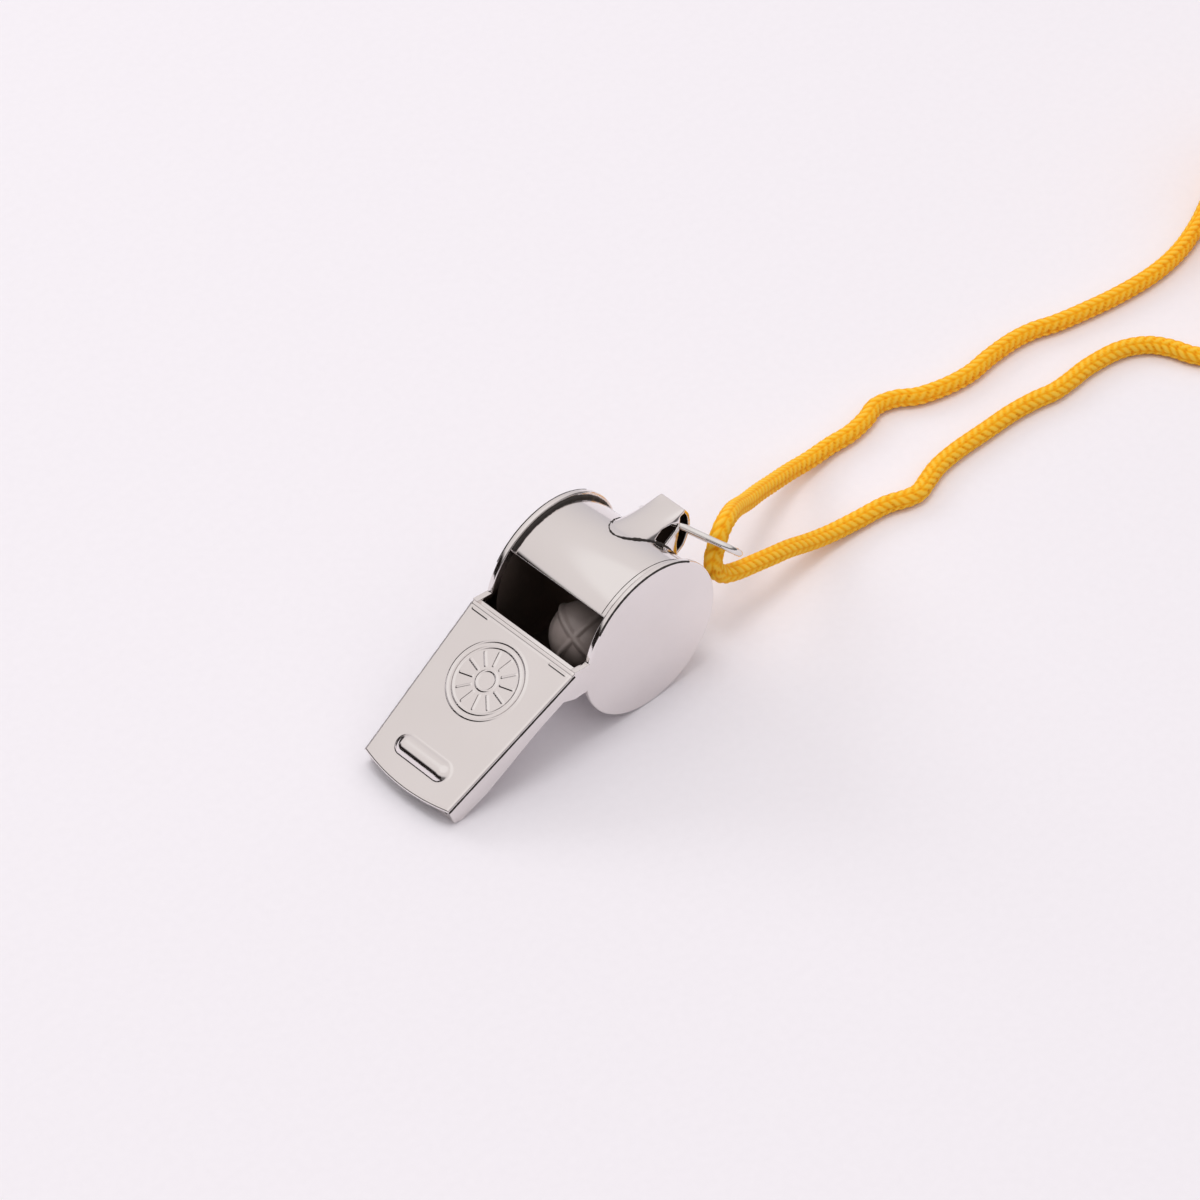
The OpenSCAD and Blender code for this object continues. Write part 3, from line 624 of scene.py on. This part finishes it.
for face in lug.data.polygons:
    u, v, y = (sum(side_view[i][k] for i in face.vertices) / len(face.vertices)
               for k in range(3))
    cuts = (crescent, leaf) if y < 0 else (far_side,)
    face.select = abs(y) > lug_half * 0.93 and any(inside_outline(u, v, cut) for cut in cuts)
bpy.ops.object.mode_set(mode="EDIT")
bpy.ops.mesh.delete(type="FACE")
bpy.ops.mesh.select_all(action="SELECT")
bpy.ops.mesh.remove_doubles(threshold=1e-6)
bpy.ops.mesh.normals_make_consistent(inside=False)
bpy.ops.object.mode_set(mode="OBJECT")
hollow = at_lug(0.6, 2.2, 0) * MM
if sum((f.center - hollow).dot(f.normal) for f in lug.data.polygons) < 0:
    lug.data.flip_normals()
thick = lug.modifiers.new("sheet", "SOLIDIFY")
thick.thickness = lug_t * MM
thick.offset = -1
bpy.ops.object.modifier_apply(modifier="sheet")
cells = lug.modifiers.new("cells", "REMESH")
cells.mode = "VOXEL"
cells.voxel_size = cell * MM
bpy.ops.object.modifier_apply(modifier="cells")
flow = lug.modifiers.new("flow", "SMOOTH")
flow.factor = 0.6
flow.iterations = 12
bpy.ops.object.modifier_apply(modifier="flow")
bpy.ops.object.shade_smooth()

# How far each point faces the hood's hollow, where the plate is rougher and is painted near
# black as shade.
inner = lug.data.attributes.new("inner", "FLOAT", "POINT")
inner.data.foreach_set("value", [
    min(1, max(0, 2.5 * vertex.normal.dot((hollow - vertex.co).normalized()) - 0.3))
    for vertex in lug.data.vertices])
lug.data.materials.append(nickel)
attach(lug, "whistle")
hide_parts("cord_lug")

# Solder: tin that ran into the joints round and under the lug's foot, along the rims and the
# roof, and at the window's corners. It is dull and a little lumpy, and painted near black as the
# shade and dark reflection in the joints' contact lines. The foot's bead thins out on the lug's
# far side, and a thin edge of tin lies on the band's near side.
tin = blank("tin solder painted as joint shade")
tin_place = add(tin, "ShaderNodeTexCoord")
tin_mottle = add(tin, "ShaderNodeTexNoise", inputs=[("Scale", 900), ("Detail", 4)],
                links=[("Vector", tin_place, "Object")])
# Painted shade: the tin is painted near black, for the shade and dark reflection in the joints.
tin_shade_tone = add(tin, "ShaderNodeMix", data_type="RGBA", links=[("Factor", tin_mottle, "Fac")],
               inputs=[("A", srgb("#0E0A08")), ("B", srgb("#3A322E"))])
tin_bump = add(tin, "ShaderNodeBump", links=[("Height", tin_mottle, "Fac")],
               inputs=[("Strength", 0.6), ("Distance", 0.00008)])
tin_bsdf = add(tin, "ShaderNodeBsdfPrincipled", inputs=[("Metallic", 0.1), ("Roughness", 0.55)],
               links=[("Base Color", tin_shade_tone, "Result"), ("Normal", tin_bump, "Normal")])
add(tin, "ShaderNodeOutputMaterial", links=[("Surface", tin_bsdf, "BSDF")])
foot_bead, roof_bead, corner_bead, edge_bead, bead_step = 0.18, 0.14, 0.12, 0.05, 0.12
band_angles, rim_angles, corner_angles = range(132, -140, -3), range(144, 52, -2), range(134, 146, 2)
rim_stand, edge_inset = 0.62, 0.85
roof_shares = (0.01, 0.2, 0.4, 0.6, 0.8, 0.99)
seams = [("foot", foot_bead, [on_barrel(lug_turn + a + 0.4, w * 1.02) for a, w in foot])]
for side, band_bead, rim_bead in ((-1, 0.26, 0.13), (1, 0.34, 0.06)):
    seams += [
        ("band", band_bead, [on_barrel(a, side * (inner_half - 0.02)) for a in band_angles]),
        ("rim", rim_bead, [on_barrel(a, side * (half_w - 0.04), band_r + rim_stand)
                           for a in rim_angles]),
        ("roof", roof_bead, [Vector((tip_x, side * (tip_w / 2 + (half_w - tip_w / 2) * s), tip_h))
                             + slope_way * roof_l * s - slope_up * sheet_t for s in roof_shares]),
        ("corner", corner_bead, [on_barrel(a, side * (inner_half + 0.12), 9.75 + 0.1 * (a % 3))
                                 for a in corner_angles])]
seams.append(("edge", edge_bead, [on_barrel(a, edge_inset - inner_half, band_r - 0.01)
                                  for a in band_angles]))
drops = []
for n, (kind, bead_r, points) in enumerate(seams):
    run, _, _ = through(points, False, bead_step)
    line = bpy.data.curves.new("solder_" + kind, "CURVE")
    line.dimensions = "3D"
    line.bevel_depth = bead_r * MM
    line.bevel_resolution = 3
    line.use_fill_caps = True
    spline = line.splines.new("POLY")
    spline.points.add(len(run) - 1)
    for i, point in enumerate(run):
        lump = (math.sin(1.9 * i + n) + math.sin(0.73 * i + 2 * n) + math.sin(0.31 * i)) / 3
        uneven = 0.4 if kind in ("foot", "corner") else 0.12
        full = 1.1 - 5 * min(0.15, max(0, i / len(run) - 0.4)) if kind == "foot" else 1
        spline.points[i].co = (*(point * MM), 1)
        spline.points[i].radius = full + uneven * lump
    drop = bpy.data.objects.new("solder_" + kind, line)
    bpy.context.scene.collection.objects.link(drop)
    drops.append(drop)
# A thin sheet of the near-black tin on the band under the lug: painted shade in the hood's hollow.
shade_pool_turn, shade_pool_half_turn, shade_pool_half_w, shade_pool_high = lug_turn + 7, 25, 2.3, 0.04
bpy.ops.object.select_all(action="DESELECT")
bpy.ops.mesh.primitive_grid_add(x_subdivisions=30, y_subdivisions=16, size=2)
for vertex in bpy.context.object.data.vertices:
    x, y, _ = vertex.co
    vertex.co = on_barrel(shade_pool_turn + shade_pool_half_turn * x, shade_pool_half_w * y,
                          band_r + shade_pool_high * (1 - x ** 4) * (1 - y ** 4)) * MM
for drop in drops:
    drop.select_set(True)
bpy.context.view_layer.objects.active = drops[0]
bpy.ops.object.convert(target="MESH")
bpy.ops.object.join()
solder = bpy.context.object
solder.name = "solder_seams"
bpy.ops.object.shade_smooth()
solder.data.materials.clear()
solder.data.materials.append(tin)
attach(solder, "whistle")

# Wire link: drawn nickel-plated wire, bent to a long loop with its cut ends nearly closed.
# It is bright and mirrors sharply. It carries the lanyard and swings in the lug.
wire = blank("bright nickel-plated wire")
wire_place = add(wire, "ShaderNodeTexCoord")
wire_haze = add(wire, "ShaderNodeTexNoise", inputs=[("Scale", 700), ("Detail", 4)],
                links=[("Vector", wire_place, "Object")])
wire_tone = add(wire, "ShaderNodeMix", data_type="RGBA", links=[("Factor", wire_haze, "Fac")],
                inputs=[("A", srgb("#DCD8D5")), ("B", srgb("#F0EEEC"))])
wire_rough = add(wire, "ShaderNodeMapRange", links=[("Value", wire_haze, "Fac")],
                 inputs=[("From Min", 0.3), ("From Max", 0.7), ("To Min", 0.06),
                         ("To Max", 0.14)])
wire_bsdf = add(wire, "ShaderNodeBsdfPrincipled", inputs=[("Metallic", 1)],
                links=[("Base Color", wire_tone, "Result"), ("Roughness", wire_rough, "Result")])
add(wire, "ShaderNodeOutputMaterial", links=[("Surface", wire_bsdf, "BSDF")])
link_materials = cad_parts["wire_link"].data.materials
link_materials.clear()
link_materials.append(wire)

# Pea: a ball moulded from grey-brown plastic in two halves, loose in the chamber. A broad
# seam and a cross rib stand on it, and its half-matt skin has sunk a little between them.
pea_plastic = blank("moulded grey polyethylene")
pea_place = add(pea_plastic, "ShaderNodeTexCoord")
pea_speck = add(pea_plastic, "ShaderNodeTexNoise", inputs=[("Scale", 500), ("Detail", 4)],
                links=[("Vector", pea_place, "Object")])
pea_tone = add(pea_plastic, "ShaderNodeMix", data_type="RGBA", links=[("Factor", pea_speck, "Fac")],
               inputs=[("A", srgb("#857A78")), ("B", srgb("#A0948F"))])
pea_skin = add(pea_plastic, "ShaderNodeTexNoise", inputs=[("Scale", 4000), ("Detail", 2)],
               links=[("Vector", pea_place, "Object")])
pea_bump = add(pea_plastic, "ShaderNodeBump", links=[("Height", pea_skin, "Fac")],
               inputs=[("Strength", 0.15), ("Distance", 0.00005)])
pea_bsdf = add(pea_plastic, "ShaderNodeBsdfPrincipled",
               links=[("Base Color", pea_tone, "Result"), ("Normal", pea_bump, "Normal")],
               inputs=[("Roughness", 0.38)])
add(pea_plastic, "ShaderNodeOutputMaterial", links=[("Surface", pea_bsdf, "BSDF")])
pea_low, pea_high = (Vector(corner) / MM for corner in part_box("pea"))
pea_middle = (pea_low + pea_high) / 2
pea_r, seam_rise, seam_half, cross_half, sunk = 4.7, 0.38, 0.62, 0.5, 0.12
seam_way = Vector((0.691, -0.385, 0.611)).normalized()
cross_way = Vector((0.05, -0.82, -0.37)).normalized()
bpy.ops.object.select_all(action="DESELECT")
bpy.ops.mesh.primitive_ico_sphere_add(subdivisions=6, radius=1)
pea = bpy.context.object
pea.name = "pea_ball"
for vertex in pea.data.vertices:
    way = vertex.co.normalized()
    seam = ridge(way.dot(seam_way) * pea_r, seam_half, seam_rise)
    cross = ridge(way.dot(cross_way) * pea_r, cross_half, seam_rise * 0.8)
    sink = sunk * math.sin(5 * way.x + 1) * math.sin(6 * way.y) * math.sin(5 * way.z + 2)
    vertex.co = (pea_middle + way * (pea_r - seam_rise + max(seam, cross) + min(0, sink))) * MM
bpy.ops.object.shade_smooth()
pea.data.materials.append(pea_plastic)
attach(pea, "pea")
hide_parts("pea")
